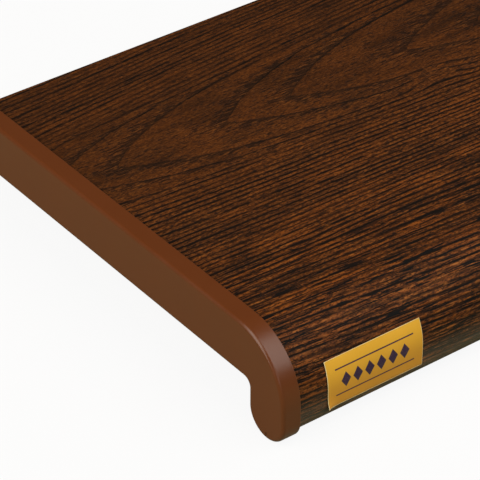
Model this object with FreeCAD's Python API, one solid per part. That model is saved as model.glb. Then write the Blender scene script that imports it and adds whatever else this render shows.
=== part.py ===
# Hollow PVC window sill board with a drooping rounded nose, a moulded end cap pushed over its left end
# and a paper label on the front of the nose.
# Millimetres, +Z up, the nose to the front (-Y) and the length along X.
# The section is drawn with Y = 0 at the board's front, Z = 0 at its top and X = 0 at the cap's outer face,
# and the finished pieces are moved together so that the origin is under the middle of the part, at floor level.
import FreeCAD, Part
import os

# Board: the outside of the extruded section
board_length = 1000.0
board_depth = 200.0
board_thickness = 20.0
nose_height = 40.0
nose_thickness = 17.0
front_radius = 25.0
inner_corner_radius = 4.5
rear_edge_radius = 1.0

# Board: the walls round its chambers and the webs between them
outer_wall = 2.5
web_thickness = 2.0
chamber_pitch = 26.0
chamber_corner_radius = 1.0

# End cap: a shallow tray whose skirt goes over the board's end
cap_plate = 2.0
cap_depth = 8.0
cap_skirt_wall = 1.3
cap_clearance = 0.2
cap_edge_radius = 1.5
cap_lip_radius = 0.3

# Label: a sticker that follows the curve of the nose
label_width = 44.0
label_from_cap_face = 21.0
label_top_below = 13.5
label_foot_below = 33.0
label_thickness = 0.15
label_glue_line = 0.05

# Sizes worked out from the ones above
nose_tip_radius = nose_thickness / 2
cap_standoff = cap_clearance + cap_skirt_wall
overall_length = cap_plate + board_length
overall_depth = cap_standoff + board_depth
run_out = board_thickness

# Tolerances: lengths that count as nothing, and the cosine above which two faces run on smoothly
tiny = 1e-6
smooth_cosine = 0.99


def section_corners(offset, rear, rear_radius, inner_radius):
    """Corners (y, z, radius) of the board's section, set out (or in, if negative) by the offset."""
    top = offset
    front = -offset
    tip = -nose_height - offset
    nose_back = nose_thickness + offset
    underside = -board_thickness - offset
    return [
        (rear, top, rear_radius),
        (front, top, front_radius + offset),
        (front, tip, nose_tip_radius + offset),
        (nose_back, tip, nose_tip_radius + offset),
        (nose_back, underside, inner_radius),
        (rear, underside, rear_radius),
    ]


def rounded_prism(corners, x_start, x_end):
    """Solid along X whose section has straight sides and square corners, each rounded to its own radius."""
    points = [FreeCAD.Vector(x_start, y, z) for y, z, radius in corners]
    radii = [radius for y, z, radius in corners]
    edges = []
    arcs = []
    for index, corner in enumerate(points):
        to_last = (points[index - 1] - corner).normalize()
        to_next = (points[(index + 1) % len(points)] - corner).normalize()
        centre = corner + (to_last + to_next) * radii[index]
        middle = centre - (to_last + to_next).normalize() * radii[index]
        arcs.append((corner + to_last * radii[index], middle, corner + to_next * radii[index]))
    for index, (start, middle, end) in enumerate(arcs):
        last_end = arcs[index - 1][2]
        if last_end.distanceToPoint(start) > tiny:
            edges.append(Part.makeLine(last_end, start))
        if radii[index] > tiny:
            edges.append(Part.Arc(start, middle, end).toShape())
    face = Part.Face(Part.Wire(edges))
    return face.extrude(FreeCAD.Vector(x_end - x_start, 0, 0))


def block(x_start, x_end, y_front, y_rear, z_low, z_high):
    """Plain block between two opposite corners."""
    corner = FreeCAD.Vector(x_start, y_front, z_low)
    return Part.makeBox(x_end - x_start, y_rear - y_front, z_high - z_low, corner)


def sharp_edges_along_x(solid):
    """Edges along X where two faces of the solid meet at an angle, leaving out those where they run on smoothly."""
    found = []
    for edge in solid.Edges:
        first, last = edge.Vertexes[0].Point, edge.Vertexes[-1].Point
        along = last - first
        if abs(abs(along.x) - along.Length) > tiny:
            continue
        middle = (first + last) / 2
        normals = []
        for face in solid.ancestorsOfType(edge, Part.Face):
            normals.append(face.normalAt(*face.Surface.parameter(middle)))
        if normals[0].dot(normals[1]) < smooth_cosine:
            found.append(edge)
    return found


def make_chambers():
    """The hollow inside the walls, divided by webs into chambers with rounded corners."""
    x_start = cap_plate - run_out
    x_end = overall_length + run_out
    rear_inside = board_depth - outer_wall
    hollow = rounded_prism(section_corners(-outer_wall, rear_inside, 0, 0), x_start, x_end)
    # The nose's back wall carries on up to the top, and the underside's wall carries on to the front
    webs = [
        block(x_start, x_end, nose_thickness - outer_wall, nose_thickness, -board_thickness, 0),
        block(x_start, x_end, 0, nose_thickness, -board_thickness, -board_thickness + outer_wall),
    ]
    # Upright webs at an even pitch between the nose and the rear wall
    span = rear_inside - nose_thickness
    chamber_count = max(1, round((span + web_thickness) / chamber_pitch))
    pitch = (span + web_thickness) / chamber_count
    for number in range(1, chamber_count):
        web_rear = nose_thickness + number * pitch
        webs.append(block(x_start, x_end, web_rear - web_thickness, web_rear, -board_thickness, 0))
    hollow = hollow.cut(webs)
    return [chamber.makeFillet(chamber_corner_radius, sharp_edges_along_x(chamber)) for chamber in hollow.Solids]


def make_sill_board():
    """Hollow extrusion, cut square at both ends. Its faces are divided where the cap's skirt ends, so that the
    bedding face is the underside clear of the cap."""
    corners = section_corners(0, board_depth, rear_edge_radius, inner_corner_radius)
    inside_cap = rounded_prism(corners, cap_plate, cap_depth)
    clear_of_cap = rounded_prism(corners, cap_depth, overall_length)
    return inside_cap.fuse(clear_of_cap).cut(make_chambers())


def make_end_cap():
    """Moulded tray: a plate over the board's end and a skirt round it, cut off flush with the board's rear edge."""
    outside = section_corners(cap_standoff, board_depth, 0, inner_corner_radius - cap_standoff)
    pocket = section_corners(cap_clearance, board_depth + run_out, 0, inner_corner_radius - cap_clearance)
    cap = rounded_prism(outside, 0, cap_depth)
    for x, radius in ((0, cap_edge_radius), (cap_depth, cap_lip_radius)):
        rim = []
        for edge in cap.Edges:
            box = edge.BoundBox
            if abs(box.XMin - x) < tiny and box.XLength < tiny and box.YMin < board_depth - tiny:
                rim.append(edge)
        cap = cap.makeFillet(radius, rim)
    return cap.cut(rounded_prism(pocket, cap_plate, cap_depth + run_out))


def make_label():
    """Thin band that lies on the front of the nose, from the round upper edge down to the tip."""
    x_start = label_from_cap_face
    x_end = label_from_cap_face + label_width
    layers = []
    for offset in (label_glue_line + label_thickness, label_glue_line):
        corners = section_corners(offset, board_depth, 0, inner_corner_radius - offset)
        layers.append(rounded_prism(corners, x_start, x_end))
    front_half = block(x_start, x_end, -run_out, nose_thickness / 2, -label_foot_below, -label_top_below)
    return layers[0].cut(layers[1]).common(front_half)


def main():
    os.makedirs("parts", exist_ok=True)
    to_origin = FreeCAD.Vector(-overall_length / 2, cap_standoff - overall_depth / 2, nose_height + cap_standoff)
    pieces = {
        "sill_board": make_sill_board(),
        "end_cap": make_end_cap(),
        "label": make_label(),
    }
    for name, shape in pieces.items():
        solid = shape.Solids[0].translated(to_origin)
        solid.exportStep("parts/" + name + ".step")
        print(name, "volume", round(solid.Volume), "mm3, valid", solid.isValid(), ", solids", len(shape.Solids))


main()
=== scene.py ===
import bpy
import math
import numpy as np
from mathutils import Matrix, Vector
from mathutils.geometry import tessellate_polygon


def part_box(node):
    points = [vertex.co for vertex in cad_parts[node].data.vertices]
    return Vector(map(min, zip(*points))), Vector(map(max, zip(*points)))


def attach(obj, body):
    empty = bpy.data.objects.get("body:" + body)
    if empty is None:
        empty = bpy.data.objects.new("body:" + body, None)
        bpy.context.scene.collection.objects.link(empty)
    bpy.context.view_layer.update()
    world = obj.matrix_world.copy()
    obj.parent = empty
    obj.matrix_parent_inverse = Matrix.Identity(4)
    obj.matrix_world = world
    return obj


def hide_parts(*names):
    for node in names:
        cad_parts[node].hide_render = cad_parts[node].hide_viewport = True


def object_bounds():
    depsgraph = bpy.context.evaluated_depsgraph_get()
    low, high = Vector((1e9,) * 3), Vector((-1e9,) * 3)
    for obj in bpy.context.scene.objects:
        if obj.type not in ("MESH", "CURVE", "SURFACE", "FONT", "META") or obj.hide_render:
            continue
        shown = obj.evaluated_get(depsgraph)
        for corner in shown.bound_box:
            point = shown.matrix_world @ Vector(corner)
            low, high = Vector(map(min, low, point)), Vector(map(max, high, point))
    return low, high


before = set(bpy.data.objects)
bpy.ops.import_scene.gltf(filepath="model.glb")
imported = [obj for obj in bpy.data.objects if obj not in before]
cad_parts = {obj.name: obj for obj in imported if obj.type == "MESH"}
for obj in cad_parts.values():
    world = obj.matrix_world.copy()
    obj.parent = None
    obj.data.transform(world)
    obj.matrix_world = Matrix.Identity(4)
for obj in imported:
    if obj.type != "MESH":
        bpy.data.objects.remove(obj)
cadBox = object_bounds()
boardLow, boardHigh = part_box("sill_board")
capLow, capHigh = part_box("end_cap")
labelLow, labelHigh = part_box("label")
noseCorner = Vector((capLow.x, boardLow.y, boardHigh.z))  # capped end; lamps and camera are placed from it
scene = bpy.context.scene
mm = 0.001

# The extruded section, in metres from the board's front (y) and top (z), as in the CAD source
section = {
    "depth": boardHigh.y - boardLow.y,
    "thickness": 20 * mm,
    "noseHeight": boardHigh.z - boardLow.z,
    "noseThickness": 17 * mm,
    "frontRadius": 25 * mm,
    "innerCorner": 4.5 * mm,
    "rearArris": 1 * mm,
    "arcSteps": 25,  # points on each quarter round
    "holdBack": 0.4 * mm,  # flat kept straight beside each round, so that shading stays flat there
    "leastStep": 0.0001 * mm,  # points closer than this are one
}


def outlineOf(corners, closed):
    # Points and outward normals round a line with square corners (y, z, radius), counter-clockwise.
    # Each corner is a quarter round: centre minus radius times
    # (next side's way cos a + last side's way sin a).
    corner = np.array(corners, float)
    place, radius = corner[:, :2], corner[:, 2]
    toLast = np.roll(place, 1, 0) - place
    toNext = np.roll(place, -1, 0) - place
    toLast /= np.linalg.norm(toLast, axis=1)[:, None]
    toNext /= np.linalg.norm(toNext, axis=1)[:, None]
    # turn is 1 at an outside corner and -1 at an inside corner
    turn = np.sign(toLast[:, 1] * toNext[:, 0] - toLast[:, 0] * toNext[:, 1])
    centre = place + (toLast + toNext) * radius[:, None]
    angle = np.linspace(0, math.pi / 2, section["arcSteps"])[None, :, None]
    spoke = toNext[:, None] * np.cos(angle) + toLast[:, None] * np.sin(angle)
    arc = centre[:, None] - radius[:, None, None] * spoke
    normal = -spoke * turn[:, None, None]
    before = arc[:, :1] + toLast[:, None] * section["holdBack"]
    after = arc[:, -1:] + toNext[:, None] * section["holdBack"]
    points = np.concatenate([before, arc, after], 1)
    normals = np.concatenate([normal[:, :1], normal, normal[:, -1:]], 1)
    if not closed:
        # an open line starts and ends on its first and last corner
        inner = slice(1, -1)
        points = np.concatenate([place[:1], points[inner].reshape(-1, 2), place[-1:]])
        normals = np.concatenate([normals[1, :1], normals[inner].reshape(-1, 2), normals[-2, -1:]])
    points, normals = points.reshape(-1, 2), normals.reshape(-1, 2)
    # doubled points go, and holding points where two rounds meet
    step = np.diff(points, axis=0, append=points[:1])
    way = np.stack([-normals[:, 1], normals[:, 0]], 1)
    keep = (step * way).sum(1) > section["leastStep"]
    keep[-1] = keep[-1] or not closed
    return points[keep], normals[keep]


def sectionCorners(rearRadius):
    s = section
    tip = s["noseThickness"] / 2
    return [
        (s["depth"], 0, rearRadius),
        (0, 0, s["frontRadius"]),
        (0, -s["noseHeight"], tip),
        (s["noseThickness"], -s["noseHeight"], tip),
        (s["noseThickness"], -s["thickness"], s["innerCorner"]),
        (s["depth"], -s["thickness"], rearRadius),
    ]


def toFrame(x, line):
    # section points (y, z) at x, as points of the frame
    x = np.broadcast_to(np.asarray(x, float), line.shape[:-1])
    return np.stack([x, line[..., 0] + boardLow.y, line[..., 1] + boardHigh.z], -1)


def lengthAlong(line):
    return np.r_[0, np.cumsum(np.linalg.norm(np.diff(line, axis=0), axis=1))]


def newPiece(name, points, faces, materials):
    mesh = bpy.data.meshes.new(name)
    mesh.from_pydata(points.reshape(-1, 3).tolist(), [], faces)
    mesh.polygons.foreach_set("use_smooth", np.ones(len(mesh.polygons), bool))
    for material in materials:
        mesh.materials.append(material)
    mesh.update()
    piece = bpy.data.objects.new(name, mesh)
    scene.collection.objects.link(piece)
    return piece


def gridFaces(rows, columns, closeRows=False, start=0):
    # quads between neighbours on a grid of rows by columns
    row = np.arange(rows if closeRows else rows - 1)[:, None]
    column = np.arange(columns - 1)[None, :]
    here = start + row * columns + column
    below = start + (row + 1) % rows * columns + column
    return np.stack([here, below, below + 1, here + 1], -1).reshape(-1, 4)


# Shader helpers


class Graph:
    # a node tree with short calls; a number or a socket can be given for any input
    def __init__(self, tree):
        self.tree = tree

    def node(self, kind, **values):
        made = self.tree.nodes.new(kind)
        for key, value in values.items():
            setattr(made, key, value)
        return made

    def feed(self, socket, value):
        if isinstance(value, bpy.types.NodeSocket):
            self.tree.links.new(value, socket)
        else:
            socket.default_value = value

    def math(self, operation, first, second=0.0, third=0.0):
        made = self.node("ShaderNodeMath", operation=operation)
        for socket, value in zip(made.inputs, (first, second, third)):
            self.feed(socket, value)
        return made.outputs[0]

    def times(self, first, *others):
        for other in others:
            first = self.math("MULTIPLY", first, other)
        return first

    def between(self, share, ends):
        # from the first end to the second as the share goes from none to all
        return self.math("MULTIPLY_ADD", share, ends[1] - ends[0], ends[0])

    def ramp(self, value, low, high, toLow=0.0, toHigh=1.0):
        made = self.node("ShaderNodeMapRange", interpolation_type="SMOOTHSTEP")
        for socket, each in zip(made.inputs, (value, low, high, toLow, toHigh)):
            self.feed(socket, each)
        return made.outputs[0]

    def noise(self, first, second, sizes, detail, rough, seed):
        # noise over a plane; sizes are the lengths of one feature each way
        join = self.node("ShaderNodeCombineXYZ")
        self.feed(join.inputs[0], self.math("DIVIDE", first, sizes[0]))
        self.feed(join.inputs[1], self.math("DIVIDE", second, sizes[1]))
        join.inputs[2].default_value = seed
        made = self.node("ShaderNodeTexNoise", noise_dimensions="3D")
        self.feed(made.inputs["Vector"], join.outputs[0])
        made.inputs["Scale"].default_value = 1.0
        made.inputs["Detail"].default_value = detail
        made.inputs["Roughness"].default_value = rough
        return made.outputs[0]

    def swing(self, first, second, *noise):
        # the same noise, to both sides of nothing
        return self.math("SUBTRACT", self.noise(first, second, *noise), 0.5)

    def mix(self, share, first, second):
        made = self.node("ShaderNodeMix", data_type="RGBA")
        self.feed(made.inputs["Factor"], share)
        self.feed(made.inputs["A"], first)
        self.feed(made.inputs["B"], second)
        return made.outputs["Result"]


def rgb(red, green, blue):
    # an sRGB colour, 0 to 255, as the linear value that a shader takes
    value = np.array([red, green, blue]) / 255
    linear = np.where(value <= 0.04045, value / 12.92, ((value + 0.055) / 1.055) ** 2.4)
    return (*linear.tolist(), 1.0)


def newMaterial(name):
    material = bpy.data.materials.new(name)
    material.use_nodes = True
    graph = Graph(material.node_tree)
    shader = material.node_tree.nodes["Principled BSDF"]
    return material, graph, shader


def newGroup(name, inputs, outputs):
    tree = bpy.data.node_groups.new(name, "ShaderNodeTree")
    for each, kind, value in inputs:
        socket = tree.interface.new_socket(each, in_out="INPUT", socket_type=kind)
        socket.default_value = value
    for each, kind in outputs:
        tree.interface.new_socket(each, in_out="OUTPUT", socket_type=kind)
    graph = Graph(tree)
    return tree, graph, graph.node("NodeGroupInput").outputs, graph.node("NodeGroupOutput").inputs


def useGroup(graph, tree, **values):
    made = graph.node("ShaderNodeGroup", node_tree=tree)
    for key, value in values.items():
        graph.feed(made.inputs[key], value)
    return made.outputs


def sheetPlace(graph, layer, scales):
    # the place on a sheet from its own UV layer, each way times its scale
    sheet = graph.node("ShaderNodeUVMap", uv_map=layer)
    split = graph.node("ShaderNodeSeparateXYZ")
    graph.feed(split.inputs[0], sheet.outputs[0])
    return [graph.math("MULTIPLY", split.outputs[i], scale) for i, scale in enumerate(scales)]


def pressRelief(graph, shader, height, strength, depth):
    relief = graph.node("ShaderNodeBump")
    relief.inputs["Strength"].default_value = strength
    relief.inputs["Distance"].default_value = depth
    graph.feed(relief.inputs["Height"], height)
    graph.feed(shader.inputs["Normal"], relief.outputs[0])


# Satin skin, shared by the bare plastic, the cap and the paper
satin = {
    "peelDetail": 2.0,
    "cloudScale": 60.0,
    "cloudDetail": 3.0,
    "glossSpread": 0.15,  # the clouds change the roughness by about this
}


def makeSatinGroup():
    # Fine moulded skin: a soft orange-peel height, cloudy gloss and a slight unevenness of tone.
    # Grain is the size of the peel in millimetres, Gloss the middle roughness, Cloud the change of tone.
    tree, graph, given, out = newGroup(
        "satinSkin",
        [
            ("Grain", "NodeSocketFloat", 0.4),
            ("Gloss", "NodeSocketFloat", 0.4),
            ("Cloud", "NodeSocketFloat", 0.06),
        ],
        [("Height", "NodeSocketFloat"), ("Roughness", "NodeSocketFloat"), ("Tone", "NodeSocketFloat")],
    )
    place = graph.node("ShaderNodeTexCoord").outputs["Object"]
    scale = graph.node("ShaderNodeVectorMath", operation="SCALE")
    graph.feed(scale.inputs[0], place)
    graph.feed(scale.inputs["Scale"], graph.math("DIVIDE", 1 / mm, given["Grain"]))
    peel = graph.node("ShaderNodeTexNoise")
    peel.inputs["Scale"].default_value = 1.0
    peel.inputs["Detail"].default_value = satin["peelDetail"]
    graph.feed(peel.inputs["Vector"], scale.outputs[0])
    cloud = graph.node("ShaderNodeTexNoise")
    cloud.inputs["Scale"].default_value = satin["cloudScale"]
    cloud.inputs["Detail"].default_value = satin["cloudDetail"]
    graph.feed(cloud.inputs["Vector"], place)
    drift = graph.math("SUBTRACT", cloud.outputs[0], 0.5)
    graph.feed(out["Height"], peel.outputs[0])
    graph.feed(out["Roughness"], graph.math("MULTIPLY_ADD", drift, satin["glossSpread"], given["Gloss"]))
    graph.feed(out["Tone"], graph.math("MULTIPLY_ADD", drift, given["Cloud"], 1.0))
    return tree


satinSkin = makeSatinGroup()


def satinFinish(graph, shader, finish, colour):
    # dresses a shader with the satin skin over a colour, and gives back the skin's height
    skin = useGroup(graph, satinSkin, Grain=finish["grain"], Gloss=finish["gloss"], Cloud=finish["cloud"])
    tone = graph.node("ShaderNodeVectorMath", operation="SCALE")
    graph.feed(tone.inputs[0], colour)
    graph.feed(tone.inputs["Scale"], skin["Tone"])
    graph.feed(shader.inputs["Base Color"], tone.outputs[0])
    graph.feed(shader.inputs["Roughness"], skin["Roughness"])
    return skin["Height"]


# Wood film: an oak figure printed and embossed on the board. Along and across are millimetres on the sheet,
# from the cap's face and from the rear edge over the top and down the nose. In these settings a noise is
# ((length, width) of its marks, detail, roughness, seed). A ramp is (from, to), followed by the values there
# where they are not 0 and 1.

# the growth rings
rings = {
    "centre": 68.0,  # line that the arches' tips are on
    "wander": 6.0,  # it wanders by this much from side to side
    "wanderNoise": ((160, 1), 1.0, 0.5, 3.1),
    "waviness": 1.2,
    "wavyNoise": ((24, 6), 2.0, 0.5, 1.3),
    "raggedness": 0.65,
    "raggedNoise": ((3.5, 1.2), 2.0, 0.6, 2.3),
    "gather": 2.6,  # lines come closer and wider apart by about this
    "gatherNoise": ((140, 4.2), 1.0, 0.5, 7.9),
    "gatherFront": (95.0, 150.0, 0.25, 1.0),  # mostly towards the nose
    "gatherRear": (30.0, 55.0, 0.6, 0.0),  # and at the rear
    "archWidth": 30.0,  # half the width that an arch opens to
    "archLength": (36.0, 58.0),  # way along in which it opens by two thirds, on its rear and its front side
    "archSpacing": 40.6,
    "archStart": 0.3,
    "archEdge": (6.0, -6.0),  # the arches give way to straight lines over this distance
    "tipRound": 1.0,
    "beatShare": 0.16,  # the arches come closer and wider apart in turn, by this share of a ring
    "beatLength": 84.0,
    "beatPlace": 103.0,
    "lineSpacing": 2.8,  # straight lines outside the arches
    "crowding": 0.0013,  # they come closer with each millimetre away from the arches, by this share
    "follow": (-3.0, 55.0, 1.0, 0.25),  # share of the way along that they follow
    "swirlAt": (163.0, 91.0),
    "swirlSize": (13.0, 6.0),
    "swirlRings": -1.3,
    "sideNumber": 100.0,  # keeps the chance numbers of a ring's two sides apart
}


def ringLines(graph, along, across, travel):
    # Growth rings, whole on every line. A ring through any place is followed back to its tip on the centre
    # line: way along, less length times the logarithm of width over the room left at the side. That gives
    # pointed arches; where they have closed up to the line spacing it falls evenly, which gives straight
    # lines. The ring's number is the tip's place over the arch spacing, with a cosine for the beat.
    # Returned are the distance to the nearest line in millimetres, the share of a ring inside its line, a
    # chance number for the ring, how far the place is outside the arches and how steeply the rings follow
    # each other across the grain.
    wander = graph.swing(along, 0.0, *rings["wanderNoise"])
    centre = graph.math("MULTIPLY_ADD", wander, rings["wander"], rings["centre"])
    offset = graph.math("SUBTRACT", across, centre)
    wavy = graph.swing(along, across, *rings["wavyNoise"])
    offset = graph.math("MULTIPLY_ADD", wavy, rings["waviness"], offset)
    ragged = graph.swing(along, across, *rings["raggedNoise"])
    offset = graph.math("MULTIPLY_ADD", ragged, rings["raggedness"], offset)
    gather = graph.swing(along, across, *rings["gatherNoise"])
    atFront = graph.ramp(across, *rings["gatherFront"])
    uneven = graph.math("ADD", atFront, graph.ramp(across, *rings["gatherRear"]))
    offset = graph.math("MULTIPLY_ADD", graph.times(gather, uneven), rings["gather"], offset)
    front = graph.math("GREATER_THAN", offset, 0.0)
    width, spacing = rings["archWidth"], rings["archSpacing"]
    length = graph.between(front, rings["archLength"])
    size = graph.math("SQRT", graph.math("MULTIPLY_ADD", offset, offset, rings["tipRound"] ** 2))
    closed = graph.math("MULTIPLY", length, rings["lineSpacing"] / spacing)
    beyond = graph.math("SUBTRACT", graph.math("ADD", size, closed), width)
    room = graph.math("MAXIMUM", graph.math("SUBTRACT", width, size), closed)
    outer = graph.math("MAXIMUM", beyond, 0.0)
    # the way back to the tip: along the arch, and then across the straight lines
    back = graph.times(graph.math("LOGARITHM", graph.math("DIVIDE", width, room), math.e), length)
    crowded = graph.times(outer, graph.math("MULTIPLY_ADD", outer, rings["crowding"], 1.0))
    back = graph.math("MULTIPLY_ADD", crowded, spacing / rings["lineSpacing"], back)
    tip = graph.math("SUBTRACT", graph.times(travel, graph.ramp(beyond, *rings["follow"])), back)
    phase = graph.math("MULTIPLY_ADD", tip, 1 / spacing, rings["archStart"])
    turn = graph.times(graph.math("SUBTRACT", tip, rings["beatPlace"]), 2 * math.pi / rings["beatLength"])
    beatShare = graph.ramp(beyond, *rings["archEdge"], 0.0, rings["beatShare"])
    phase = graph.math("MULTIPLY_ADD", graph.math("COSINE", turn), beatShare, phase)
    # a small swirl, as round a pin knot: e to the minus square of the distance from it
    ways = zip((along, across), rings["swirlAt"], rings["swirlSize"])
    far = [graph.math("DIVIDE", graph.math("SUBTRACT", value, at), reach) for value, at, reach in ways]
    square = graph.math("ADD", graph.times(far[0], far[0]), graph.times(far[1], far[1]))
    swirl = graph.math("EXPONENT", graph.times(square, -1.0))
    phase = graph.math("MULTIPLY_ADD", swirl, rings["swirlRings"], phase)
    # steepness of the phase, which turns it back into millimetres
    lean = graph.math("DIVIDE", length, room)
    lean = graph.times(lean, graph.math("MULTIPLY_ADD", outer, 2 * rings["crowding"], 1.0))
    steep = graph.math("SQRT", graph.math("MULTIPLY_ADD", lean, lean, 1.0))
    ring = graph.math("ROUND", phase)
    away = graph.math("ABSOLUTE", graph.math("SUBTRACT", phase, ring))
    away = graph.math("DIVIDE", away, graph.math("DIVIDE", steep, spacing))
    chance = graph.node("ShaderNodeTexWhiteNoise", noise_dimensions="1D")
    graph.feed(chance.inputs["W"], graph.math("MULTIPLY_ADD", front, rings["sideNumber"], ring))
    return away, graph.math("FRACT", phase), chance.outputs["Value"], beyond, lean


# the print
film = {
    "plain": rgb(89, 48, 18),
    "warm": rgb(133, 70, 21),
    "light": rgb(160, 95, 39),
    "line": rgb(16, 7, 2),
    "streak": rgb(8, 7, 6),
    # grey of the painted reflection of the floor at the foot of the nose
    "paintedReflection": rgb(120, 114, 98),
    "turnLength": 273.0,  # the arches turn round at about one and a half of these from the cap
    "rearFan": (25.0, 60.0, -0.03, 0.0),  # slope by which the grain fans out at the rear
    "frontFan": (138.0, 185.0, 0.0, 0.048),  # and at the front
    "frontReach": (85.0, 170.0),  # where the rear's values give way to the nose's
    # dark lines, one to a ring, broken into dashes
    "dashNoise": ((6.5, 1.2), 3.0, 0.65, 4.4),
    "dashGaps": (0.34, 0.5, 0.4, 1.0),
    "dashWidth": (0.35, 0.65, 0.8, 1.15),
    "fadeNoise": ((45, 2.2), 1.0, 0.5, 12.8),
    "fadeDepth": (0.35, 0.6, 0.7, 1.0),
    "lineWidth": (0.98, 0.82),  # half the width of a line, at the rear and at the nose
    "archLineWidth": (1.0, 0.7),  # share of it outside and inside the arches
    "lineCore": 0.15,  # half the width that is fully dark
    "lineStrength": (0.84, 0.66),  # of the faintest ring, at the rear and at the nose
    "chanceStrength": (0.55, 0.6),  # the most that chance adds to it, at the rear and at the nose
    "acrossStrength": (15.0, 95.0, 0.85, 1.1),
    "leanStrength": (1.0, 5.0, 0.4, 1.0),  # fainter where a ring runs square to the grain
    "tipStrength": (-26.0, -17.0, 0.5, 1.0),  # and at the arches' tips
    # late wood, the part just outside each arch
    "latePower": 3.0,
    "lateDepth": 0.15,
    # marks between the lines
    "fineNoise": ((9, 0.6), 2.0, 0.6, 9.4),
    "fineCut": (0.53, 0.59),
    "fineShare": (40.0, 165.0, 0.25, 0.5),
    "streakNoise": ((15, 0.8), 3.0, 0.6, 11.7),
    "streakCut": (0.55, 0.58),
    "streakShare": (100.0, 180.0, 0.0, 1.0),
    "tickNoise": ((5.0, 0.75), 2.0, 0.55, 5.2),
    "tickCut": (0.6, 0.66),
    "tickCrowding": 0.26,  # more of them in the late wood
    "tickDepth": 0.7,
    # paler fibres with painted highlights, pores, tone, and painted shade towards the rear
    "fibreNoise": ((6, 0.9), 2.0, 0.6, 8.3),
    "fibreCut": (0.55, 0.72),
    "fibreAndSheenBend": (178.0, 192.0, 0.0, 0.05),  # more of them on the bend, partly painted sheen on the ridges
    "fibreAndHighlightCrowding": 0.12,  # and in the late wood, where they are partly painted highlights of the emboss
    "fibreAndHighlightShare": (85.0, 190.0, 0.25, 0.95),
    # share of them added in the late wood, partly painted emboss highlights
    "fibreAndHighlightLate": 0.45,
    "speckleNoise": ((1.6, 0.8), 2.0, 0.7, 6.1),
    "paleSpeckle": (0.48, 0.34, 0.0, 0.45),
    "darkSpeckle": (0.5, 0.64, 0.0, 0.75),
    "speckleShare": (60.0, 120.0, 0.65, 1.0),
    "warmNoise": ((34, 7), 2.0, 0.5, 2.6),
    "warmCut": (0.3, 0.7),
    "warmShare": (0.3, 0.9),  # at the rear and at the nose
    "shadeNoise": ((26, 5), 2.0, 0.5, 7.7),
    "shadeDepth": (0.45, 0.75, 0.0, 0.3),
    # painted shade: the top darker towards the rear edge
    "paintedRearShade": (60.0, 110.0, 0.26, 0.0),
    "archShade": 0.1,
    # painted reflection: a grey haze towards the foot of the nose, painted in place of the floor's
    # reflection
    "paintedReflectionReach": (203.0, 226.0),
    "paintedReflectionPower": 1.8,
    "paintedReflectionShare": 0.66,
    "paintedReflectionNoise": ((30, 3), 2.0, 0.5, 10.6),
    "paintedReflectionCloud": (0.35, 0.65, 0.75, 1.0),
    # surface
    "specular": 0.15,
    "roughness": 0.58,
    "pressedRoughness": 0.15,  # added where the print is pressed in
    "reliefStrength": 0.7,
    "reliefDepth": 0.2 * mm,
}


def darkLines(graph, along, across, grain, travel, frontShare):
    # The dark lines, the late wood outside each arch, and the share of a place that is in the arches.
    # A line's strength is its chance number times the spread, plus the faintest strength, times the fades.
    away, part, chance, beyond, lean = ringLines(graph, along, grain, travel)
    archShare = graph.ramp(beyond, *rings["archEdge"])
    dash = graph.noise(along, grain, *film["dashNoise"])
    fade = graph.noise(along, grain, *film["fadeNoise"])
    broken = graph.times(graph.ramp(dash, *film["dashGaps"]), graph.ramp(fade, *film["fadeDepth"]))
    width = graph.times(
        graph.between(frontShare, film["lineWidth"]),
        graph.ramp(dash, *film["dashWidth"]),
        graph.between(archShare, film["archLineWidth"]),
    )
    spread = graph.between(frontShare, film["chanceStrength"])
    strength = graph.times(
        graph.math("MULTIPLY_ADD", chance, spread, graph.between(frontShare, film["lineStrength"])),
        graph.ramp(across, *film["acrossStrength"]),
        graph.ramp(lean, *film["leanStrength"]),
        graph.ramp(beyond, *film["tipStrength"]),
    )
    line = graph.times(graph.ramp(away, width, film["lineCore"]), strength, broken)
    late = graph.times(graph.math("POWER", part, film["latePower"]), archShare)
    return line, late, archShare


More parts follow.
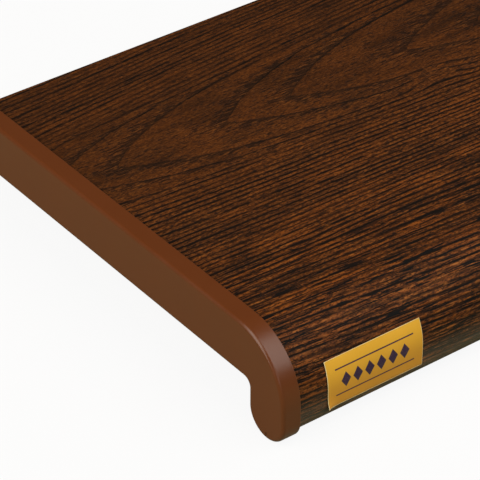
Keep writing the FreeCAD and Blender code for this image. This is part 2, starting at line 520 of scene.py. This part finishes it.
def makeFilm():
    material, graph, shader = newMaterial("woodFilm")
    along, across = sheetPlace(graph, "film", (1 / mm, 1 / mm))
    frontShare = graph.ramp(across, *film["frontReach"])
    travel = graph.math("SINE", graph.math("DIVIDE", along, film["turnLength"]))
    travel = graph.times(travel, film["turnLength"])
    # grain is the way across less the fan of the lines, so it stays the same along a line
    fan = graph.math("ADD", graph.ramp(across, *film["rearFan"]), graph.ramp(across, *film["frontFan"]))
    grain = graph.math("SUBTRACT", across, graph.times(travel, fan))
    line, late, archShare = darkLines(graph, along, across, grain, travel, frontShare)
    # between the lines: fine streaks, near-black ones near the nose, and ticks that crowd in the late wood
    fine = graph.ramp(graph.noise(along, grain, *film["fineNoise"]), *film["fineCut"])
    fine = graph.times(fine, graph.ramp(across, *film["fineShare"]))
    streak = graph.ramp(graph.noise(along, grain, *film["streakNoise"]), *film["streakCut"])
    streak = graph.times(streak, graph.ramp(across, *film["streakShare"]))
    tick = graph.noise(along, grain, *film["tickNoise"])
    tick = graph.ramp(graph.math("MULTIPLY_ADD", late, film["tickCrowding"], tick), *film["tickCut"])
    # paler fibres with painted highlights in the late wood and on the bend, a speckle of pores, a slow drift
    # of tone, and painted shade towards the rear
    # pale fibres, partly painted highlights: on the ridges of the bend and beside the late wood's lines
    paleFibreAndHighlight = graph.noise(along, grain, *film["fibreNoise"])
    paleFibreAndHighlight = graph.math("ADD", paleFibreAndHighlight, graph.ramp(across, *film["fibreAndSheenBend"]))
    paleFibreAndHighlight = graph.ramp(graph.math("MULTIPLY_ADD", late, film["fibreAndHighlightCrowding"], paleFibreAndHighlight), *film["fibreCut"])
    fibreAndHighlightShare = graph.math("MULTIPLY_ADD", late, film["fibreAndHighlightLate"], graph.ramp(across, *film["fibreAndHighlightShare"]))
    paleFibreAndHighlight = graph.times(paleFibreAndHighlight, fibreAndHighlightShare)
    speckle = graph.noise(along, across, *film["speckleNoise"])
    speckleShare = graph.ramp(across, *film["speckleShare"])
    warmth = graph.ramp(graph.noise(along, grain, *film["warmNoise"]), *film["warmCut"])
    warmth = graph.times(warmth, graph.between(frontShare, film["warmShare"]))
    shade = graph.ramp(graph.noise(along, grain, *film["shadeNoise"]), *film["shadeDepth"])
    # painted shade, darker towards the rear of the top
    shade = graph.math("ADD", shade, graph.ramp(across, *film["paintedRearShade"]))
    shade = graph.math("MULTIPLY_ADD", archShare, film["archShade"], shade)
    # painted reflection: grey haze mixed in towards the foot of the nose, in clouds
    paintedReflection = graph.math("POWER", graph.ramp(across, *film["paintedReflectionReach"]), film["paintedReflectionPower"])
    cloud = graph.ramp(graph.noise(along, across, *film["paintedReflectionNoise"]), *film["paintedReflectionCloud"])
    # the layers of the print, one over the other, with painted highlights, painted shade and a painted
    # reflection among them
    layers = [
        (paleFibreAndHighlight, film["light"]),
        (graph.times(graph.ramp(speckle, *film["paleSpeckle"]), speckleShare), film["light"]),
        (graph.times(graph.ramp(speckle, *film["darkSpeckle"]), speckleShare), film["line"]),
        # slow drift of tone, with painted shade towards the rear
        (shade, film["line"]),
        (graph.times(late, film["lateDepth"]), film["line"]),
        (graph.times(tick, film["tickDepth"]), film["line"]),
        (fine, film["line"]),
        (line, film["line"]),
        (streak, film["streak"]),
        # painted reflection of the floor, grey, over the foot of the nose
        (graph.times(paintedReflection, film["paintedReflectionShare"], cloud), film["paintedReflection"]),
    ]
    colour = graph.mix(warmth, film["plain"], film["warm"])
    for share, ink in layers:
        colour = graph.mix(share, colour, ink)
    graph.feed(shader.inputs["Base Color"], colour)
    # the print is embossed: ticks, streaks and lines are pressed in
    pressed = graph.math("MAXIMUM", graph.math("MAXIMUM", tick, fine), graph.math("MAXIMUM", streak, line))
    height = graph.math("SUBTRACT", 1.0, pressed)
    pressRelief(graph, shader, height, film["reliefStrength"], film["reliefDepth"])
    roughness = graph.math("MULTIPLY_ADD", pressed, film["pressedRoughness"], film["roughness"])
    graph.feed(shader.inputs["Roughness"], roughness)
    shader.inputs["Specular IOR Level"].default_value = film["specular"]
    return material


# Bare plastic of the underside, the chambers and the sawn ends
core = {
    "colour": rgb(214, 211, 202),
    "grain": 0.7,
    "gloss": 0.45,
    "cloud": 0.08,
    "reliefStrength": 0.2,
    "reliefDepth": 0.05 * mm,
}


def makeCore():
    material, graph, shader = newMaterial("barePvc")
    height = satinFinish(graph, shader, core, core["colour"][:3])
    pressRelief(graph, shader, height, core["reliefStrength"], core["reliefDepth"])
    return material


# Board
board = {
    "wall": 2.5 * mm,
    "web": 2.0 * mm,
    "chamberPitch": 26 * mm,
    "chamberCorner": 1.0 * mm,
    "cornerSteps": 5,
    "noseSteps": 24,
    "leastArea": 1e-14,  # square metres, times two; thinner triangles are left out
    "crease": 40,  # degrees, above which an edge stays sharp
}


def softLoop(sides):
    # A closed loop of sides, each a run of points, with every corner cut back and rounded.
    # A corner's curve is (1-t)^2 start + 2t(1-t) corner + t^2 end.
    radius = board["chamberCorner"]
    cut = []
    for side in sides:
        run = lengthAlong(side)
        at = np.linspace(radius, run[-1] - radius, len(side))
        cut.append(np.stack([np.interp(at, run, side[:, 0]), np.interp(at, run, side[:, 1])], 1))
    t = np.linspace(0, 1, board["cornerSteps"] + 2)[1:-1, None]
    parts = []
    for index, side in enumerate(cut):
        corner, start = sides[index][-1], cut[(index + 1) % len(cut)][0]
        parts += [side, (1 - t) ** 2 * side[-1] + 2 * t * (1 - t) * corner + t * t * start]
    return np.concatenate(parts)


def frontRound(radius, firstAngle, lastAngle):
    # points on a round about the centre of the front edge, by the angle from straight up
    angle = np.linspace(firstAngle, lastAngle, board["noseSteps"])
    centre = section["frontRadius"]
    return np.stack([centre - radius * np.sin(angle), radius * np.cos(angle) - centre], 1)


def chamberLoops():
    # the chambers' outlines, clockwise so that their walls face inwards
    s, wall, web = section, board["wall"], board["web"]
    top, low = -wall, -s["thickness"] + wall
    loops = []
    # between the nose and the rear wall, at an even pitch
    span = s["depth"] - wall - s["noseThickness"]
    count = max(1, round((span + web) / board["chamberPitch"]))
    pitch = (span + web) / count
    for front in s["noseThickness"] + pitch * np.arange(count):
        back = front + pitch - web
        ring = np.array([(front, low), (front, top), (back, top), (back, low), (front, low)])
        loops.append(softLoop([ring[i : i + 2] for i in range(4)]))
    # in the nose, above the underside's wall
    back = s["noseThickness"] - wall
    centre, radius = s["frontRadius"], s["frontRadius"] - wall
    crown = frontRound(radius, math.acos((low + centre) / radius), math.asin((centre - back) / radius))
    loops.append(softLoop([crown, np.array([crown[-1], (back, low)]), np.array([(back, low), crown[0]])]))
    # and below it, down the nose's back, round the tip and up the front
    under = -s["thickness"]
    tip = s["noseThickness"] / 2
    inside = tip - wall
    turn = np.linspace(0, math.pi, board["noseSteps"])
    bowl = np.stack([tip + inside * np.cos(turn), tip - s["noseHeight"] - inside * np.sin(turn)], 1)
    cheek = frontRound(radius, math.pi / 2, math.acos((under + centre) / radius))
    shell = np.concatenate([np.array([(back, under)]), bowl, cheek])
    loops.append(softLoop([shell, np.array([shell[-1], shell[0]])]))
    return loops


def filmPlaces(loop, ends):
    # film coordinates of the quads along a loop: from the cap's face, and from the rear top edge
    count = len(loop)
    run = lengthAlong(loop)
    run -= run[section["arcSteps"]]  # nothing at the rear top edge
    before, following = run.copy(), np.roll(run, -1)
    before[-1] = run[0] - np.linalg.norm(loop[0] - loop[-1])
    a, b = (np.full(count, end - capLow.x) for end in ends)
    return np.stack([a, before, a, following, b, following, b, before], 1).reshape(-1, 2)


def bareSides(loop):
    # sides without film: the underside, from the inner corner to the rear arris
    y, z = ((loop + np.roll(loop, -1, 0)) / 2).T
    behindNose = (y > section["noseThickness"]) & (z > -section["thickness"] - section["innerCorner"])
    return behindNose & (z < -section["thickness"] + section["rearArris"])


def sawnEnd(loops):
    # triangles over the section with its chambers left open, counter-clockwise, by the loops' point numbers
    flat = [[Vector((0, y, z)) for y, z in loop] for loop in loops]
    triangles = np.array(tessellate_polygon(flat))
    joined = np.concatenate(loops)
    a, b, c = (joined[triangles[:, i]] for i in range(3))
    area = (b[:, 0] - a[:, 0]) * (c[:, 1] - a[:, 1]) - (b[:, 1] - a[:, 1]) * (c[:, 0] - a[:, 0])
    triangles[area < 0] = triangles[area < 0][:, ::-1]
    return triangles[np.abs(area) > board["leastArea"]]


def makeBoard(materials):
    # Each loop of the section is carried from one end to the other, two points to a row.
    outer, _ = outlineOf(sectionCorners(section["rearArris"]), True)
    loops = [outer] + chamberLoops()
    ends = np.array([boardLow.x, boardHigh.x])
    points, faces, uv, slots = [], [], [], []
    start = 0
    for loop in loops:
        count = len(loop)
        rows = toFrame(np.repeat(ends[None, :], count, 0), np.repeat(loop[:, None], 2, 1))
        points.append(rows.reshape(-1, 3))
        faces += gridFaces(count, 2, True, start).tolist()
        uv.append(filmPlaces(loop, ends))
        slots.append(bareSides(loop) if loop is outer else np.ones(count, bool))
        start += 2 * count
    triangles = sawnEnd(loops)
    faces += (triangles[:, ::-1] * 2).tolist() + (triangles * 2 + 1).tolist()
    slots.append(np.ones(2 * len(triangles), bool))
    uv.append(np.zeros((2 * triangles.size, 2)))
    piece = newPiece("sillBoard", np.concatenate(points), faces, materials)
    mesh = piece.data
    mesh.polygons.foreach_set("material_index", np.concatenate(slots).astype(np.int32))
    mesh.uv_layers.new(name="film").data.foreach_set("uv", np.concatenate(uv).astype(np.float32).ravel())
    mesh.set_sharp_from_angle(angle=math.radians(board["crease"]))
    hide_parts("sill_board")
    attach(piece, "root")
    return piece


boardPiece = makeBoard([makeFilm(), makeCore()])
print("board", len(boardPiece.data.polygons), "faces")

# End cap
cap = {
    "plate": 2.0 * mm,
    "clearance": 0.2 * mm,
    "edgeRadius": 1.5 * mm,
    "lipRadius": 0.3 * mm,
    "inset": 1.6 * mm,  # ring that the flat plate is filled from
    "hold": 0.3 * mm,  # flat kept straight beside each round
    "mouthFlat": 0.1 * mm,  # flat on the mouth, beside the inside
    "edgeSteps": 9,
    "crease": 35,
    "colour": rgb(102, 52, 20),
    "grain": 0.5,
    "gloss": 0.31,
    "cloud": 0.1,
    "specular": 0.5,
    "reliefStrength": 0.25,
    "reliefDepth": 0.03 * mm,
}


def makeCapPlastic():
    material, graph, shader = newMaterial("capPlastic")
    height = satinFinish(graph, shader, cap, cap["colour"][:3])
    pressRelief(graph, shader, height, cap["reliefStrength"], cap["reliefDepth"])
    shader.inputs["Specular IOR Level"].default_value = cap["specular"]
    return material


def trayWall():
    # the tray's wall, from the plate's outside over the lip to its inside, as (x from the cap's face,
    # distance out from the board)
    out = boardLow.y - capLow.y
    deep = capHigh.x - capLow.x
    edge, lip, hold = cap["edgeRadius"], cap["lipRadius"], cap["hold"]
    plate, gap, inset = cap["plate"], cap["clearance"], cap["inset"]
    turn = np.linspace(0, math.pi / 2, cap["edgeSteps"])
    rounded = np.stack([edge - edge * np.cos(turn), out - edge + edge * np.sin(turn)], 1)
    lipped = np.stack([deep - lip + lip * np.sin(turn), out - lip + lip * np.cos(turn)], 1)
    return np.concatenate([
        [(0, -inset), (0, out - edge - hold)],
        rounded,
        [(edge + hold, out), (deep - lip - hold, out)],
        lipped,
        [(deep, gap + cap["mouthFlat"]), (deep, gap), (deep - hold, gap)],
        [(plate + hold, gap), (plate, gap), (plate, gap - hold), (plate, -inset)],
    ])


def makeCap(material):
    # The tray's wall, carried along the line of the nose.
    line, normal = outlineOf(sectionCorners(0), False)
    wall = trayWall()
    place = line[:, None] + normal[:, None] * wall[None, :, 1:]
    points = toFrame(capLow.x + np.broadcast_to(wall[:, 0], place.shape[:2]), place)
    rows, columns = points.shape[:2]
    number = np.arange(rows * columns).reshape(rows, columns)
    faces = gridFaces(rows, columns)[:, ::-1].tolist()
    # the plate's outside and inside
    faces.append(number[::-1, 0].tolist())
    faces.append(number[:, -1].tolist())
    # rear end, flush with the board's rear edge: down the last section, up the first one
    faces.append(number[-1, ::-1].tolist() + number[0].tolist())
    piece = newPiece("endCap", points, faces, [material])
    piece.data.set_sharp_from_angle(angle=math.radians(cap["crease"]))
    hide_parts("end_cap")
    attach(piece, "root")
    return piece


capPiece = makeCap(makeCapPlastic())
print("cap", len(capPiece.data.polygons), "faces")

# Label, with sizes of the paper in metres and sizes of the print in millimetres
label = {
    "paper": 0.12 * mm,
    "glue": 0.04 * mm,
    "columns": 89,
    "rows": 45,
    "curlLift": 1.1 * mm,  # lower left corner, away from the board
    "curlBack": 0.7 * mm,  # and in towards the middle, as the corner rolls up
    "curlReach": 6.0 * mm,
    "edgeLift": 0.22 * mm,
    "edgeReach": 2.5 * mm,
    "crease": 40,
    "yellow": rgb(240, 182, 54),
    "deep": rgb(222, 156, 50),
    "deepFrom": 0.1,  # share of the height at which the yellow begins to deepen
    "ink": rgb(46, 24, 70),
    "inkNoise": ((0.5, 0.5), 3.0, 0.6, 1.7),
    "inkCover": (0.25, 0.5, 0.85, 1.0),
    "lozengePitch": 5.4,
    "lozengeCount": 6,
    "lozengeHalf": (2.2, 3.2),
    "lozengeEdge": (1.04, 0.96),
    "ruleWidth": 0.55,
    "ruleSoft": 0.05,
    "ruleApart": 10.8,
    "ruleMargin": 4.0,
    "cream": rgb(246, 226, 176),
    "cutEdge": 0.28,  # pale border where the cut paper shows
    "cutSoft": (1.3, 0.6),  # it fades between these shares of its width
    "cutUpper": 2.0,  # and is this many times narrower along the top and the right side
    "frayNoise": ((1.2, 1.2), 2.0, 0.6, 4.1),
    "grain": 0.35,
    "gloss": 0.42,
    "cloud": 0.12,
}
paperEdge = {"grain": 0.2, "gloss": 0.7, "cloud": 0.2}


def labelSheet():
    # the nose's line with its normals and running length, and where on it the label starts and ends
    line, normal = outlineOf(sectionCorners(0), False)
    run = lengthAlong(line)
    nose = line[:, 0] < section["noseThickness"] / 2
    down = slice(0, int(np.argmin(np.where(nose, line[:, 1], 0))))
    heights, runs = line[down, 1][::-1], run[down][::-1]
    top, foot = (np.interp(z - boardHigh.z, heights, runs) for z in (labelHigh.z, labelLow.z))
    return line, normal, run, top, foot


def printMask(graph, along, down, width, height):
    # A row of lozenges between two rules: a lozenge is where the distance along over half its width and the
    # distance down over half its height add up to less than one.
    pitch, (halfWide, halfHigh) = label["lozengePitch"], label["lozengeHalf"]
    rowStart = (width - pitch * label["lozengeCount"]) / 2
    place = graph.math("SUBTRACT", along, rowStart)
    step = graph.math("SUBTRACT", graph.math("FRACT", graph.math("DIVIDE", place, pitch)), 0.5)
    aside = graph.times(graph.math("ABSOLUTE", step), pitch / halfWide)
    offRow = graph.math("ABSOLUTE", graph.math("SUBTRACT", down, height / 2))
    lozenge = graph.ramp(graph.math("MULTIPLY_ADD", offRow, 1 / halfHigh, aside), *label["lozengeEdge"])
    offMiddle = graph.math("ABSOLUTE", graph.math("SUBTRACT", along, width / 2))
    lozenge = graph.times(lozenge, graph.math("LESS_THAN", offMiddle, width / 2 - rowStart))
    offRule = graph.math("ABSOLUTE", graph.math("SUBTRACT", offRow, label["ruleApart"] / 2))
    half, soft = label["ruleWidth"] / 2, label["ruleSoft"]
    rule = graph.ramp(offRule, half + soft, half - soft)
    rule = graph.times(rule, graph.math("LESS_THAN", offMiddle, width / 2 - label["ruleMargin"]))
    return graph.math("MAXIMUM", lozenge, rule)


def cutEdgeMask(graph, along, down, width, height):
    # pale cut edge, widest along the left side and the foot, where the sheet lifts
    upper = graph.math("MINIMUM", graph.math("SUBTRACT", width, along), down)
    lower = graph.math("MINIMUM", along, graph.math("SUBTRACT", height, down))
    inward = graph.math("MINIMUM", graph.times(upper, label["cutUpper"]), lower)
    fray = graph.swing(along, down, *label["frayNoise"])
    inward = graph.math("MULTIPLY_ADD", fray, label["cutEdge"], inward)
    return graph.ramp(inward, *(label["cutEdge"] * share for share in label["cutSoft"]))


def makeLabelPaper():
    material, graph, shader = newMaterial("labelPaper")
    _, _, _, top, foot = labelSheet()
    size = (labelHigh.x - labelLow.x) / mm, (foot - top) / mm
    along, down = sheetPlace(graph, "label", size)
    height = size[1]
    colour = graph.mix(graph.ramp(down, label["deepFrom"] * height, height), label["yellow"], label["deep"])
    # the ink lies a little unevenly
    cover = graph.ramp(graph.noise(along, down, *label["inkNoise"]), *label["inkCover"])
    ink = graph.times(printMask(graph, along, down, *size), cover)
    colour = graph.mix(ink, colour, label["ink"])
    colour = graph.mix(cutEdgeMask(graph, along, down, *size), colour, label["cream"])
    satinFinish(graph, shader, label, colour)
    return material


def makeEdgePaper():
    material, graph, shader = newMaterial("labelEdge")
    satinFinish(graph, shader, paperEdge, label["cream"][:3])
    return material


def makeLabel(materials):
    # A sheet over (u along the board, v down the nose): the nose's line moved out by the glue and the lift.
    # The lift is largest at the lower left corner and falls off as the square of what is left of its reach,
    # and the corner is drawn in by the same share.
    line, normal, run, top, foot = labelSheet()
    width, height = labelHigh.x - labelLow.x, foot - top
    u, v = np.meshgrid(np.linspace(0, 1, label["columns"]), np.linspace(0, 1, label["rows"]))
    fromCorner = np.hypot(u * width, (1 - v) * height)
    curl = np.clip(1 - fromCorner / label["curlReach"], 0, 1) ** 2
    edge = label["edgeLift"] * np.clip(1 - u * width / label["edgeReach"], 0, 1) ** 2
    lift = label["glue"] + label["curlLift"] * curl + edge
    at = top + v * height - label["curlBack"] * curl
    base = np.stack([np.interp(at, run, line[:, i]) for i in (0, 1)], -1)
    out = np.stack([np.interp(at, run, normal[:, i]) for i in (0, 1)], -1)
    x = labelLow.x + u * width
    sheets = [toFrame(x, base + out * (lift + extra)[..., None]) for extra in (label["paper"], 0)]
    points = np.concatenate([sheet.reshape(-1, 3) for sheet in sheets])
    rows, columns = u.shape
    count = rows * columns
    face = gridFaces(rows, columns).tolist()
    back = gridFaces(rows, columns, start=count)[:, ::-1].tolist()
    number = np.arange(count).reshape(rows, columns)
    border = np.concatenate([number[0, :-1], number[:-1, -1], number[-1, :0:-1], number[:0:-1, 0]])
    following = np.roll(border, -1)
    rim = np.stack([border, following, following + count, border + count], 1).tolist()
    piece = newPiece("paperLabel", points, face + back + rim, materials)
    mesh = piece.data
    slots = np.repeat([0, 1], [len(face), len(back) + len(rim)]).astype(np.int32)
    mesh.polygons.foreach_set("material_index", slots)
    corners = np.zeros(len(mesh.loops), np.int32)
    mesh.loops.foreach_get("vertex_index", corners)
    uv = np.tile(np.stack([u.ravel(), v.ravel()], 1), (2, 1))[corners]
    mesh.uv_layers.new(name="label").data.foreach_set("uv", uv.astype(np.float32).ravel())
    mesh.set_sharp_from_angle(angle=math.radians(label["crease"]))
    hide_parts("label")
    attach(piece, "root")
    return piece


labelPiece = makeLabel([makeLabelPaper(), makeEdgePaper()])
print("label", len(labelPiece.data.polygons), "faces")

# Stage: a pale floor that sweeps up into a low backdrop
stage = {
    "middle": 0.001,  # radius of the hole that the floor starts from
    "flatRadius": 9.0,
    "bend": 0.8,
    "bendSteps": 12,
    "height": 1.2,
    "steps": 96,
    "albedo": rgb(137, 137, 97),  # colour of the light it throws back
    "seen": rgb(231, 231, 231),  # colour that the camera sees, with the shadow on it
    "whiteSeen": 0.91,  # share of it that gives way to plain white, as the camera sees it
    "whiteMirrored": 0.07,  # and as a glossy surface shows it
}


def makeFloorPaper():
    material, graph, _ = newMaterial("paleFloor")
    graph.tree.nodes.clear()
    white = graph.node("ShaderNodeEmission")
    path = graph.node("ShaderNodeLightPath").outputs
    diffuse = graph.node("ShaderNodeBsdfDiffuse")
    graph.feed(diffuse.inputs["Color"], graph.mix(path["Is Camera Ray"], stage["albedo"], stage["seen"]))
    mirrored = graph.math("MAXIMUM", path["Is Glossy Ray"], path["Is Transmission Ray"])
    seen = graph.times(path["Is Camera Ray"], stage["whiteSeen"])
    blend = graph.node("ShaderNodeMixShader")
    graph.feed(blend.inputs[0], graph.math("MULTIPLY_ADD", mirrored, stage["whiteMirrored"], seen))
    graph.feed(blend.inputs[1], diffuse.outputs[0])
    graph.feed(blend.inputs[2], white.outputs[0])
    graph.feed(graph.node("ShaderNodeOutputMaterial").inputs[0], blend.outputs[0])
    return material


def makeStage(material):
    # A line (radius, height) turned about the upright axis: flat floor, quarter bend, upright wall.
    flat, bend = stage["flatRadius"], stage["bend"]
    turn = np.linspace(0, math.pi / 2, stage["bendSteps"])
    sweep = np.stack([flat + bend * np.sin(turn), bend * (1 - np.cos(turn))], 1)
    line = np.concatenate([[(stage["middle"], 0)], sweep, [(flat + bend, stage["height"])]])
    around = np.linspace(0, 2 * math.pi, stage["steps"], endpoint=False)[:, None]
    radius, height = line[None, :, 0], line[None, :, 1] + cadBox[0].z
    points = np.stack(np.broadcast_arrays(radius * np.cos(around), radius * np.sin(around), height), -1)
    faces = gridFaces(points.shape[0], points.shape[1], True)[:, ::-1].tolist()
    piece = newPiece("floor", points, faces, [material])
    return piece


stagePiece = makeStage(makeFloorPaper())
print("stage", len(stagePiece.data.polygons), "faces")

# Light: a broad soft box in front, a tall one on the left, a weak fill low in front, and one low on the
# right for the cut end
lamps = {
    "front": {
        "towards": (0.30, -0.50, 0.81),
        "tall": (0, 0.85, 0.52),
        "away": 2.0,
        "size": (2.0, 1.85),
        "power": 29.5,
        "colour": (1.0, 0.95, 0.89),
    },
    "left": {
        "towards": (-0.82, 0.14, 0.56),
        "tall": (0, 0, 1),
        "away": 1.8,
        "size": (1.1, 2.1),
        "power": 30,
        "colour": (1.0, 0.92, 0.8),
    },
    "fill": {
        "towards": (-0.35, -0.85, 0.38),
        "tall": (0, 0, 1),
        "away": 2.4,
        "size": (1.2, 1.2),
        "power": 5,
        "colour": (1.0, 0.97, 0.93),
    },
    "right": {
        "towards": (0.96, -0.12, 0.2),
        "tall": (0, 0, 1),
        "away": 2.5,
        "size": (1.2, 0.8),
        "power": 14,
        "colour": (1.0, 0.98, 0.97),
    },
}
sky = {"colour": (1.0, 0.98, 0.85, 1.0), "strength": 0.06}


def makeLamp(name, towards, tall, away, size, power, colour):
    data = bpy.data.lights.new(name, "AREA")
    data.shape = "RECTANGLE"
    data.size, data.size_y = size
    data.energy = power
    data.color = colour
    lamp = bpy.data.objects.new(name, data)
    way = Vector(towards).normalized()
    lamp.location = noseCorner + way * away
    up = (Vector(tall) - way * way.dot(Vector(tall))).normalized()
    lamp.rotation_euler = Matrix((up.cross(way), up, way)).transposed().to_euler()
    scene.collection.objects.link(lamp)


def makeSky():
    world = bpy.data.worlds.new("studio")
    world.use_nodes = True
    background = world.node_tree.nodes["Background"]
    background.inputs["Color"].default_value = sky["colour"]
    background.inputs["Strength"].default_value = sky["strength"]
    scene.world = world


for name, values in lamps.items():
    makeLamp(name, **values)
makeSky()
print("light", len(lamps), "lamps")

# Camera, fitted to the photo's edges and placed from the capped corner of the nose
camera = {
    "place": (-462.7 * mm, -589.8 * mm, 579.6 * mm),
    "heading": 37.03,  # degrees to the right of straight at the nose
    "dip": 35.25,  # degrees below level
    "focalPixels": 2743.5,
    "imagePixels": 480,
    "sensor": 36,
    "clip": (0.01, 50),
}


def makeCamera():
    view = bpy.data.cameras.new("camera")
    view.sensor_width = camera["sensor"]
    view.lens = camera["focalPixels"] / camera["imagePixels"] * camera["sensor"]
    view.clip_start, view.clip_end = camera["clip"]
    eye = bpy.data.objects.new("camera", view)
    eye.location = noseCorner + Vector(camera["place"])
    eye.rotation_euler = (math.radians(90 - camera["dip"]), 0, -math.radians(camera["heading"]))
    scene.collection.objects.link(eye)
    scene.camera = eye


makeCamera()
scene.view_settings.view_transform = "Standard"
print("camera ready")
